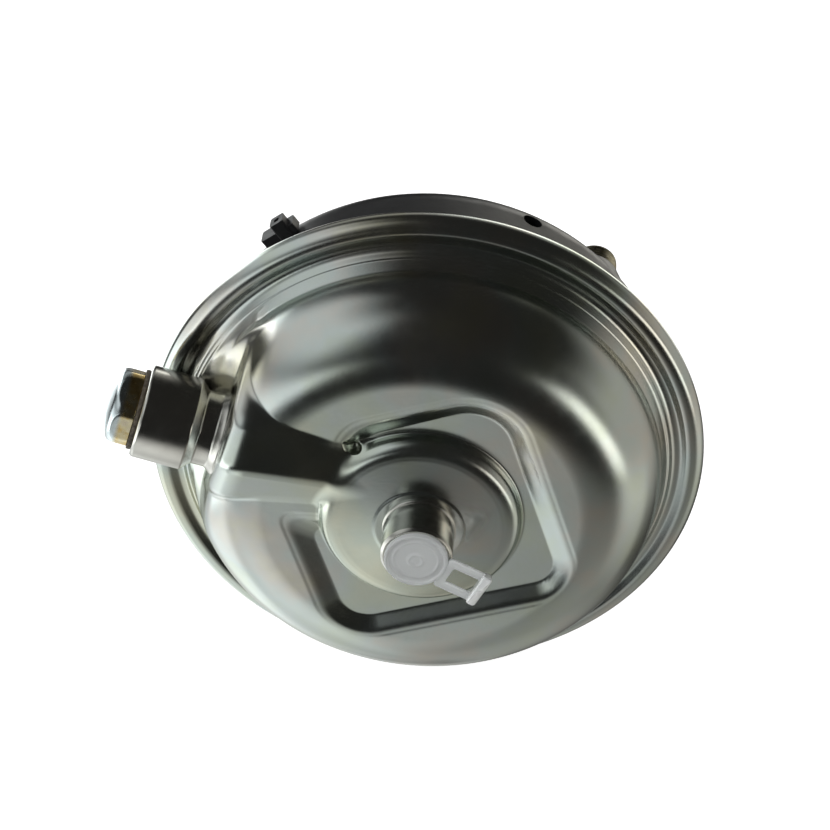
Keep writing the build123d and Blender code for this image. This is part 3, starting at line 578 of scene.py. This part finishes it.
# ---------------------------------------------------------------- studs
STUD_TURN = math.radians(25.0)
STUD_OFFSET = 60.325
STUD_RADIUS = 7.98
STUD_SEAT = 8.6
STUD_END = 27.5
HEAD_RADIUS = 10.6
stud_foot = [(STUD_SEAT, -2.6), (STUD_SEAT, -0.02), (8.0, 0.02), (STUD_RADIUS, 1.4)]
stud_nose = [(7.2, 25.4), (7.6, 25.9), (6.9, 26.9), (6.4, STUD_END), (0.01, STUD_END)]
stud_head = [(0.01, -12.6), (HEAD_RADIUS - 1.0, -12.6), (HEAD_RADIUS, -11.6), (HEAD_RADIUS, -7.65),
             (STUD_SEAT, -7.6), (STUD_SEAT, -2.6)]
stud_pieces = []
for name, sign, node in (("upper", 1, "upper_mounting_stud"), ("lower", -1, "lower_mounting_stud")):
    centre = np.array([math.cos(STUD_TURN), 0.0, math.sin(STUD_TURN)]) * STUD_OFFSET * sign
    shank = thread(f"{name}_stud_thread", STUD_RADIUS, 7.1, 1.2, 26.0, centre)
    nose = lathe(f"{name}_stud_nose", rounded(stud_nose, 0.3), 96, centre)
    foot = lathe(f"{name}_stud_foot", rounded(stud_foot, 0.1), 96, centre)
    head = lathe(f"{name}_stud_head", rounded(stud_head, 0.3), 96, centre)
    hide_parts(node)
    for piece in (shank, nose, foot, head):
        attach(piece, "housing")
        stud_pieces.append(piece)


# ---------------------------------------------------------------- boot, diaphragm, plate, rod and spring
def node_y(name):
    """Where a CAD node starts and ends along Y, in millimetres."""
    start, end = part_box(name)
    return start[1] / MM, end[1] / MM


def ring_section(inner, outer, start, end, radius):
    """A rectangle to turn, which starts in the middle of a side so that all four corners are rounded."""
    middle = (inner + outer) / 2
    corners = [(outer, start), (outer, end), (inner, end), (inner, start)]
    return rounded([(middle, start)] + corners + [(middle, start)], radius)


def boot():
    """The rubber boot: a lip, three soft folds and a collar that grips the rod."""
    lip_top, lip_foot, lip_radius, lip_inner = -2.65, -4.6, 33.0, 25.0
    bore, collar, collar_middle, collar_half = 10.3, 12.5, -24.0, 4.5
    folds, fold_height, half_wall, root = 3, 2.2, 0.7, 1.6
    begin = np.array([lip_inner, (lip_top + lip_foot) / 2])
    span = np.array([collar, collar_middle]) - begin
    side = np.array([-span[1], span[0]]) / np.linalg.norm(span)
    s = np.linspace(0.02, 0.98, 110)
    wave = fold_height * np.sin(2 * folds * math.pi * s)
    skin = begin + span * s[:, None] - side * wave[:, None]
    run = np.gradient(skin, axis=0)
    run /= np.linalg.norm(run, axis=1, keepdims=True)
    offset = np.stack([-run[:, 1], run[:, 0]], -1) * half_wall
    towards_caliper = [tuple(q) for q in skin - offset]
    towards_spring = [tuple(q) for q in (skin + offset)[::-1]]
    grip_top, grip_foot = collar_middle + collar_half, collar_middle - collar_half
    grip = [(collar, collar_middle + root), (collar, grip_top), (bore, grip_top), (bore, grip_foot),
            (collar, grip_foot), (collar, collar_middle - root)]
    lip_start = (lip_radius + lip_inner) / 2
    lip = [(lip_inner, lip_foot), (lip_radius, lip_foot), (lip_radius, lip_top), (lip_start, lip_top)]
    profile = [(lip_start, lip_top), (lip_inner, lip_top)] + towards_caliper + grip + towards_spring + lip
    return lathe("boot", rounded(profile, 0.4, 3), 144)


boot_skin = boot()
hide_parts("gaiter")
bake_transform(boot_skin)

ring_low, ring_high = node_y("gaiter_retaining_ring")
boot_ring = lathe("boot_ring", ring_section(26.8, 34.4, ring_low, ring_high, 0.5), 144)
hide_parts("gaiter_retaining_ring")
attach(boot_ring, "housing")

clip_low, clip_high = node_y("gaiter_clip")
clip_middle, clip_inner, wire = (clip_low + clip_high) / 2, 12.5, 0.8
clip_section = [(clip_inner + wire + wire * math.cos(t), clip_middle + wire * math.sin(t))
                for t in np.linspace(0, 2 * math.pi, 24)]
boot_clip = lathe("boot_clip", clip_section, 144)
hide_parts("gaiter_clip")
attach(boot_clip, "pushrod")

face_seal_back, face_seal_lip = -1.05, 0.6
face_seal_section = [(32.8, face_seal_back), (36.35, face_seal_back), (36.35, 0.1), (35.3, face_seal_lip),
                     (34.2, 0.1), (32.75, -0.1), (31.3, 0.1), (30.2, face_seal_lip), (29.1, 0.1),
                     (29.1, face_seal_back), (32.8, face_seal_back)]
face_seal = lathe("face_seal", rounded(face_seal_section, 0.7), 160)
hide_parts("mounting_face_seal")
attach(face_seal, "housing")

DIAPHRAGM_CUP = 62.0
DIAPHRAGM_ROOT = 65.6
DIAPHRAGM_EDGE = 86.6
DIAPHRAGM_SHEET = 2.7
cup_floor = node_y("diaphragm")[0]
clamp_low, clamp_high = -54.35, -51.85
towards_air = [(0.01, cup_floor), (DIAPHRAGM_CUP, cup_floor), (DIAPHRAGM_ROOT, clamp_low - 1.4),
               (76.0, clamp_low), (DIAPHRAGM_EDGE, clamp_low)]
towards_plate = [(DIAPHRAGM_EDGE, clamp_high), (76.0, clamp_high), (DIAPHRAGM_ROOT - 1.2, clamp_low + 0.8),
                 (DIAPHRAGM_CUP - 2.3, cup_floor + DIAPHRAGM_SHEET), (0.01, cup_floor + DIAPHRAGM_SHEET)]
membrane = divided(rounded(towards_air + towards_plate, 7.0, 10), 5)
diaphragm_skin = lathe("diaphragm_cup", membrane, 160)
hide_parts("diaphragm")
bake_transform(diaphragm_skin)

plate_low, plate_high = node_y("push_plate")
PLATE_RADIUS = 52.0
PLATE_SHEET = 3.0
plate_profile = [(0.01, plate_low), (PLATE_RADIUS - 2.6, plate_low), (PLATE_RADIUS, plate_low + 2.6),
                 (PLATE_RADIUS, plate_high), (PLATE_RADIUS - PLATE_SHEET, plate_high),
                 (PLATE_RADIUS - PLATE_SHEET, plate_low + PLATE_SHEET), (0.01, plate_low + PLATE_SHEET)]
plate_skin = lathe("plate", rounded(plate_profile, 1.2), 144)
rod_low, rod_high = node_y("push_rod")
FOOT_RADIUS = 17.0
ROD_RADIUS = 10.0
NOSE_RADIUS = 9.0
DOME_HEIGHT = 4.6
rod_profile = [(0.01, rod_low), (FOOT_RADIUS, rod_low), (FOOT_RADIUS, rod_low + 2.5), (12.0, rod_low + 5.0),
               (ROD_RADIUS, rod_low + 7.0), (ROD_RADIUS, rod_high - 13.5), (NOSE_RADIUS, rod_high - 12.5),
               (NOSE_RADIUS, rod_high - DOME_HEIGHT)]
rod_dome = [(NOSE_RADIUS * math.cos(t), rod_high - DOME_HEIGHT + DOME_HEIGHT * math.sin(t))
            for t in np.linspace(0.12, math.pi / 2 - 0.01, 24)]
rod_skin = lathe("rod", rounded(rod_profile, 0.8) + rod_dome, 96)
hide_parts("push_plate")
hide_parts("push_rod")
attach(plate_skin, "pushrod")
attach(rod_skin, "pushrod")


def coil(low, high):
    """The conical return spring; each end lies flat for the last part of its turn."""
    wire_radius, turns, big, small = 1.9, 4.5, 40.0, 21.5
    s = np.linspace(0, 1, 900)
    flat = np.clip((s - 0.06) / 0.88, 0, 1)
    y = low + wire_radius + (high - low - 2 * wire_radius) * flat
    r = small + (big - small) * s
    turn = 2 * math.pi * turns * s
    path = np.stack([r * np.cos(turn), y, -r * np.sin(turn)], -1)
    along = np.gradient(path, axis=0)
    along /= np.linalg.norm(along, axis=1, keepdims=True)
    out = np.stack([np.cos(turn), np.zeros_like(turn), -np.sin(turn)], -1)
    out -= along * np.sum(out * along, 1, keepdims=True)
    out /= np.linalg.norm(out, axis=1, keepdims=True)
    up = np.cross(along, out)
    t = angles_round(20)
    section = np.cos(t)[None, :, None] * out[:, None] + np.sin(t)[None, :, None] * up[:, None]
    return grid_object("coil_spring", path[:, None] + wire_radius * section, caps=(0, -1))


spring_low, spring_high = node_y("return_spring")
spring_skin = coil(spring_low, spring_high)
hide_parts("return_spring")
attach(spring_skin, "housing")
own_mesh(spring_skin)


# ---------------------------------------------------------------- materials
def principled(name, color, metallic=0.0, roughness=0.5, **sockets):
    mat = bpy.data.materials.new(name)
    mat.use_nodes = True
    shader = shader_of(mat)
    shader.inputs["Base Color"].default_value = (*color, 1)
    shader.inputs["Metallic"].default_value = metallic
    shader.inputs["Roughness"].default_value = roughness
    for key, value in sockets.items():
        shader.inputs[key.replace("_", " ")].default_value = value
    return mat


def shader_of(mat):
    return mat.node_tree.nodes["Principled BSDF"]


def add(mat, kind, **settings):
    """A new node with its settings."""
    node = mat.node_tree.nodes.new(kind)
    for key, value in settings.items():
        setattr(node, key, value)
    return node


def link(mat, source, socket):
    mat.node_tree.links.new(source, socket)


def noise(mat, scale, detail, rough):
    """A noise in object space; scale is per metre."""
    coordinates = add(mat, "ShaderNodeTexCoord")
    texture = add(mat, "ShaderNodeTexNoise")
    texture.inputs["Scale"].default_value = scale
    texture.inputs["Detail"].default_value = detail
    texture.inputs["Roughness"].default_value = rough
    link(mat, coordinates.outputs["Object"], texture.inputs["Vector"])
    return texture.outputs["Fac"]


def map_range(mat, value, from_low, from_high, to_low=0.0, to_high=1.0):
    node = add(mat, "ShaderNodeMapRange")
    node.inputs["From Min"].default_value = from_low
    node.inputs["From Max"].default_value = from_high
    node.inputs["To Min"].default_value = to_low
    node.inputs["To Max"].default_value = to_high
    link(mat, value, node.inputs["Value"])
    return node.outputs["Result"]


def vary_color(mat, value, stops):
    """Colours the surface by a value, from (place, colour) stops."""
    node = add(mat, "ShaderNodeValToRGB")
    elements = node.color_ramp.elements
    while len(elements) < len(stops):
        elements.new(0.5)
    for element, (place, color) in zip(elements, stops):
        element.position = place
        element.color = (*color, 1)
    link(mat, value, node.inputs["Fac"])
    link(mat, node.outputs["Color"], shader_of(mat).inputs["Base Color"])
    return node.outputs["Color"]


def vary_roughness(mat, value, low, high):
    """Spreads the middle of a noise over a range of roughness."""
    link(mat, map_range(mat, value, 0.3, 0.7, low, high), shader_of(mat).inputs["Roughness"])


def bump(mat, value, strength, distance):
    node = add(mat, "ShaderNodeBump")
    node.inputs["Strength"].default_value = strength
    node.inputs["Distance"].default_value = distance
    link(mat, value, node.inputs["Height"])
    link(mat, node.outputs["Normal"], shader_of(mat).inputs["Normal"])


def pale_end(mat, color, pale, start, end):
    """Blends a material's colour to a pale one between two places along the side port."""
    position = add(mat, "ShaderNodeTexCoord")
    along = add(mat, "ShaderNodeVectorMath", operation="DOT_PRODUCT")
    along.inputs[1].default_value = SIDE.tolist()
    link(mat, position.outputs["Object"], along.inputs[0])
    mix = add(mat, "ShaderNodeMix", data_type="RGBA")
    mix.inputs["B"].default_value = (*pale, 1)
    link(mat, map_range(mat, along.outputs["Value"], start * MM, end * MM), mix.inputs["Factor"])
    link(mat, color, mix.inputs["A"])
    link(mat, mix.outputs["Result"], shader_of(mat).inputs["Base Color"])


# zinc with a faint chromate tint on the pressed cover
zinc = principled("zinc_plate", (0.6, 0.62, 0.58), 1.0, 0.27)
vary_color(zinc, noise(zinc, 22, 5, 0.55), [
    (0.30, (0.62, 0.63, 0.52)), (0.42, (0.56, 0.61, 0.54)), (0.50, (0.56, 0.61, 0.59)),
    (0.59, (0.61, 0.60, 0.56)), (0.70, (0.65, 0.63, 0.50))])
vary_roughness(zinc, noise(zinc, 60, 6, 0.65), 0.17, 0.26)
bump(zinc, noise(zinc, 900, 3, 0.6), 0.05, 0.0002)

# the turned bosses
turned = principled("zinc_turned", (0.5, 0.5, 0.47), 1.0, 0.22)
vary_color(turned, noise(turned, 40, 4, 0.5), [(0.35, (0.50, 0.50, 0.46)), (0.65, (0.60, 0.59, 0.55))])
vary_roughness(turned, noise(turned, 300, 5, 0.6), 0.17, 0.27)
bump(turned, noise(turned, 1500, 2, 0.5), 0.04, 0.0001)

# the plug: yellow chromate, pale towards the end of its head
yellow = principled("yellow_zinc", (0.7, 0.55, 0.25), 1.0, 0.22)
chromate = vary_color(yellow, noise(yellow, 180, 5, 0.6), [
    (0.30, (0.46, 0.30, 0.10)), (0.45, (0.75, 0.56, 0.24)), (0.58, (0.82, 0.74, 0.50)),
    (0.72, (0.80, 0.70, 0.55))])
vary_roughness(yellow, noise(yellow, 500, 4, 0.6), 0.15, 0.30)
pale_end(yellow, chromate, (0.70, 0.78, 0.80), SIDE_END + 5.2, SIDE_END + 6.6)

stud_metal = principled("stud_zinc", (0.42, 0.40, 0.32), 1.0, 0.3)
vary_color(stud_metal, noise(stud_metal, 300, 4, 0.6), [
    (0.35, (0.20, 0.18, 0.12)), (0.65, (0.40, 0.37, 0.28))])
vary_roughness(stud_metal, noise(stud_metal, 700, 3, 0.6), 0.25, 0.4)

plain_steel = principled("plain_steel", (0.52, 0.52, 0.5), 1.0, 0.3)
vary_roughness(plain_steel, noise(plain_steel, 200, 5, 0.6), 0.22, 0.38)
bump(plain_steel, noise(plain_steel, 1200, 3, 0.6), 0.06, 0.0001)

dark_steel = principled("spring_steel", (0.12, 0.12, 0.125), 1.0, 0.4)
vary_roughness(dark_steel, noise(dark_steel, 400, 4, 0.6), 0.3, 0.5)
bump(dark_steel, noise(dark_steel, 1500, 3, 0.6), 0.1, 0.0001)

black_paint = principled("black_paint", (0.007, 0.007, 0.008), 0.0, 0.34)
vary_roughness(black_paint, noise(black_paint, 160, 5, 0.6), 0.28, 0.42)
bump(black_paint, noise(black_paint, 700, 3, 0.55), 0.12, 0.0002)

black_plastic = principled("black_plastic", (0.014, 0.014, 0.015), 0.0, 0.42)
vary_roughness(black_plastic, noise(black_plastic, 500, 3, 0.6), 0.36, 0.5)
bump(black_plastic, noise(black_plastic, 2500, 2, 0.5), 0.15, 0.0001)

rubber = principled("rubber", (0.018, 0.018, 0.019), 0.0, 0.62)
vary_roughness(rubber, noise(rubber, 250, 5, 0.6), 0.52, 0.72)
bump(rubber, noise(rubber, 1800, 3, 0.6), 0.2, 0.0001)

fibre = principled("seal_fibre", (0.10, 0.085, 0.07), 0.0, 0.7)
vary_color(fibre, noise(fibre, 900, 4, 0.6), [(0.4, (0.06, 0.05, 0.04)), (0.6, (0.14, 0.12, 0.09))])

poly = principled("natural_polyethylene", (0.86, 0.88, 0.88), 0.0, 0.3, Transmission_Weight=0.45, IOR=1.5)
vary_roughness(poly, noise(poly, 300, 4, 0.6), 0.28, 0.42)
bump(poly, noise(poly, 1200, 3, 0.6), 0.08, 0.0001)


def dress(mat, *objs):
    """Gives objects a material in place of their own."""
    for obj in objs:
        obj.data.materials.clear()
        obj.data.materials.append(mat)


dress(zinc, cover_skin)
dress(turned, axial_skin, axial_thread, axial_floor, side_boss_skin)
dress(yellow, plug_head, plug_thread, plug_end)
dress(fibre, seal_skin)
dress(poly, cap_skin, tab, bar)
dress(black_paint, nodes["non_pressure_housing"], nodes["stud_plate"])
dress(black_plastic, *(nodes[f"vent_plug_{position}"] for position in ("top", "left", "bottom")))
dress(rubber, diaphragm_skin, boot_skin, face_seal)
dress(plain_steel, plate_skin, rod_skin, boot_ring)
dress(dark_steel, spring_skin, boot_clip)
dress(stud_metal, *stud_pieces)

# ---------------------------------------------------------------- camera
CAMERA_PLACE = (0.0405, -0.7687, 0.54295)
CAMERA_YAW = -0.06193
CAMERA_PITCH = 0.63505
camera = bpy.data.objects.new("camera", bpy.data.cameras.new("camera"))
bpy.context.scene.collection.objects.link(camera)
camera.data.lens = 115.73
camera.data.sensor_width = 36.0
camera.location = CAMERA_PLACE
camera.rotation_euler = (math.pi / 2 - CAMERA_PITCH, 0, -CAMERA_YAW)
bpy.context.scene.camera = camera
bpy.context.scene.view_settings.view_transform = "Standard"

# ---------------------------------------------------------------- world
world = bpy.data.worlds.new("studio")
bpy.context.scene.world = world
world.use_nodes = True
tree = world.node_tree


def math_node(operation, *values):
    """A math node of the world; each value is a number or another node's output."""
    node = tree.nodes.new("ShaderNodeMath")
    node.operation = operation
    for socket, value in zip(node.inputs, values):
        if isinstance(value, (int, float)):
            socket.default_value = value
        else:
            tree.links.new(value, socket)
    return node.outputs[0]


DEGREE = 180 / math.pi
sky = tree.nodes.new("ShaderNodeTexCoord")
split = tree.nodes.new("ShaderNodeSeparateXYZ")
tree.links.new(sky.outputs["Generated"], split.inputs[0])
towards_ports = math_node("MULTIPLY", split.outputs["Y"], -1.0)
ray_azimuth = math_node("MULTIPLY", math_node("ARCTAN2", split.outputs["X"], towards_ports), DEGREE)
ray_elevation = math_node("MULTIPLY", math_node("ARCSINE", split.outputs["Z"]), DEGREE)


def softbox(azimuth, elevation, half_width, half_height, softness, strength, tilt=0.0):
    """A soft light in a direction: full inside its half sizes, gone a softness further out (degrees)."""
    around = math_node("WRAP", math_node("SUBTRACT", ray_azimuth, azimuth), 180.0, -180.0)
    up = math_node("SUBTRACT", ray_elevation, elevation)
    if tilt:
        around = math_node("ADD", around, math_node("MULTIPLY", up, tilt))
    light = strength
    for distance, half in ((around, half_width), (up, half_height)):
        edge = tree.nodes.new("ShaderNodeMapRange")
        edge.interpolation_type = "SMOOTHSTEP"
        edge.inputs["From Min"].default_value = half + softness / 2
        edge.inputs["From Max"].default_value = half - softness / 2
        tree.links.new(math_node("ABSOLUTE", distance), edge.inputs["Value"])
        light = math_node("MULTIPLY", light, edge.outputs["Result"])
    return light


# Each line is one soft light or lit surface of the room, with softbox's values in their order.
# Azimuth 0 is towards the ports and 90 towards +X.
LIGHTS = {
    "window": (-80, 40, 45, 22, 30, 0.7),
    "table_left": (-80, -20, 35, 12, 12, 2.0, -0.5),
    "table_middle": (-65, 0, 40, 8, 15, 1.1, -0.5),
    "table_far_left": (-120, -45, 50, 20, 15, 0.6, -1.0),
    "table_under_left": (-75, -55, 65, 20, 30, 0.7, -0.5),
    "table_under": (0, -90, 180, 30, 40, 0.4),
    "table_front": (0, -45, 60, 15, 20, 0.2),
    "strip_right": (55, -5, 8, 16, 10, 1.8, 0.6),
    "wall_right": (100, -10, 35, 28, 30, 0.45),
    "table_right": (85, -40, 25, 15, 20, 0.4),
    "backdrop_right": (160, 0, 10, 20, 12, 2.2, -0.5),
    "backdrop_left": (-140, 0, 12, 20, 12, 2.6, -1.0),
    "backdrop_low": (-160, -30, 14, 14, 14, 1.5, -1.0),
    "backdrop_behind": (180, 25, 40, 12, 20, 0.3),
}
UNLIT = 0.02
light = UNLIT
for values in LIGHTS.values():
    light = math_node("ADD", light, softbox(*values))
background = tree.nodes["Background"]
tree.links.new(light, background.inputs["Strength"])

# cooler light from the left, warmer from the right
tint = tree.nodes.new("ShaderNodeValToRGB")
cool, warm = tint.color_ramp.elements
cool.position, cool.color = 0.3, (0.97, 1.0, 0.995, 1)
warm.position, warm.color = 0.7, (1.0, 0.97, 0.88, 1)
tree.links.new(math_node("MULTIPLY_ADD", split.outputs["X"], 0.5, 0.5), tint.inputs["Fac"])
tree.links.new(tint.outputs["Color"], background.inputs["Color"])

# the camera, and what shows through the cap, see plain white
backdrop = tree.nodes.new("ShaderNodeBackground")
backdrop.inputs["Color"].default_value = (1, 1, 1, 1)
ray = tree.nodes.new("ShaderNodeLightPath")
choice = tree.nodes.new("ShaderNodeMixShader")
seen_white = math_node("MAXIMUM", ray.outputs["Is Camera Ray"], ray.outputs["Is Transmission Ray"])
tree.links.new(seen_white, choice.inputs[0])
tree.links.new(background.outputs[0], choice.inputs[1])
tree.links.new(backdrop.outputs[0], choice.inputs[2])
tree.links.new(choice.outputs[0], tree.nodes["World Output"].inputs[0])

# ---------------------------------------------------------------- lamps
LAMP_SIZE = 0.9
LAMPS = {"lamp_left": ((-0.9, -0.9, 1.0), 9.0), "lamp_right": ((1.0, -0.5, 0.9), 5.0),
         "lamp_back": ((0.2, 1.1, 0.9), 6.0)}
for name, (place, power) in LAMPS.items():
    lamp = bpy.data.objects.new(name, bpy.data.lights.new(name, "AREA"))
    lamp.data.energy = power
    lamp.data.size = LAMP_SIZE
    lamp.location = place
    lamp.rotation_euler = (-mathutils.Vector(place)).to_track_quat("-Z", "Y").to_euler()
    lamp.visible_glossy = False
    bpy.context.scene.collection.objects.link(lamp)

# ---------------------------------------------------------------- floor
FLOOR = -0.0945
SPREAD = 12.0
FLOOR_GLOW = 0.82
floor_mesh = bpy.data.meshes.new("floor")
floor_mesh.from_pydata([(-SPREAD, -SPREAD, FLOOR), (SPREAD, -SPREAD, FLOOR), (SPREAD, SPREAD, FLOOR),
                        (-SPREAD, SPREAD, FLOOR)], [], [(0, 1, 2, 3)])
floor = bpy.data.objects.new("floor", floor_mesh)
bpy.context.scene.collection.objects.link(floor)

# it glows for rays that should meet white, and is plain grey to light, so that it keeps the shadow
floor_mat = principled("floor", (0.8, 0.8, 0.8), 0.0, 0.9, Specular_IOR_Level=0.0)
floor_ray = add(floor_mat, "ShaderNodeLightPath")
seen_floor = floor_ray.outputs["Is Camera Ray"]
for kind in ("Is Glossy Ray", "Is Transmission Ray"):
    either = add(floor_mat, "ShaderNodeMath", operation="MAXIMUM")
    link(floor_mat, seen_floor, either.inputs[0])
    link(floor_mat, floor_ray.outputs[kind], either.inputs[1])
    seen_floor = either.outputs[0]
glow = add(floor_mat, "ShaderNodeMath", operation="MULTIPLY")
glow.inputs[1].default_value = FLOOR_GLOW
link(floor_mat, seen_floor, glow.inputs[0])
shader_of(floor_mat).inputs["Emission Color"].default_value = (1, 1, 1, 1)
link(floor_mat, glow.outputs[0], shader_of(floor_mat).inputs["Emission Strength"])
floor.data.materials.append(floor_mat)
floor.visible_glossy = False
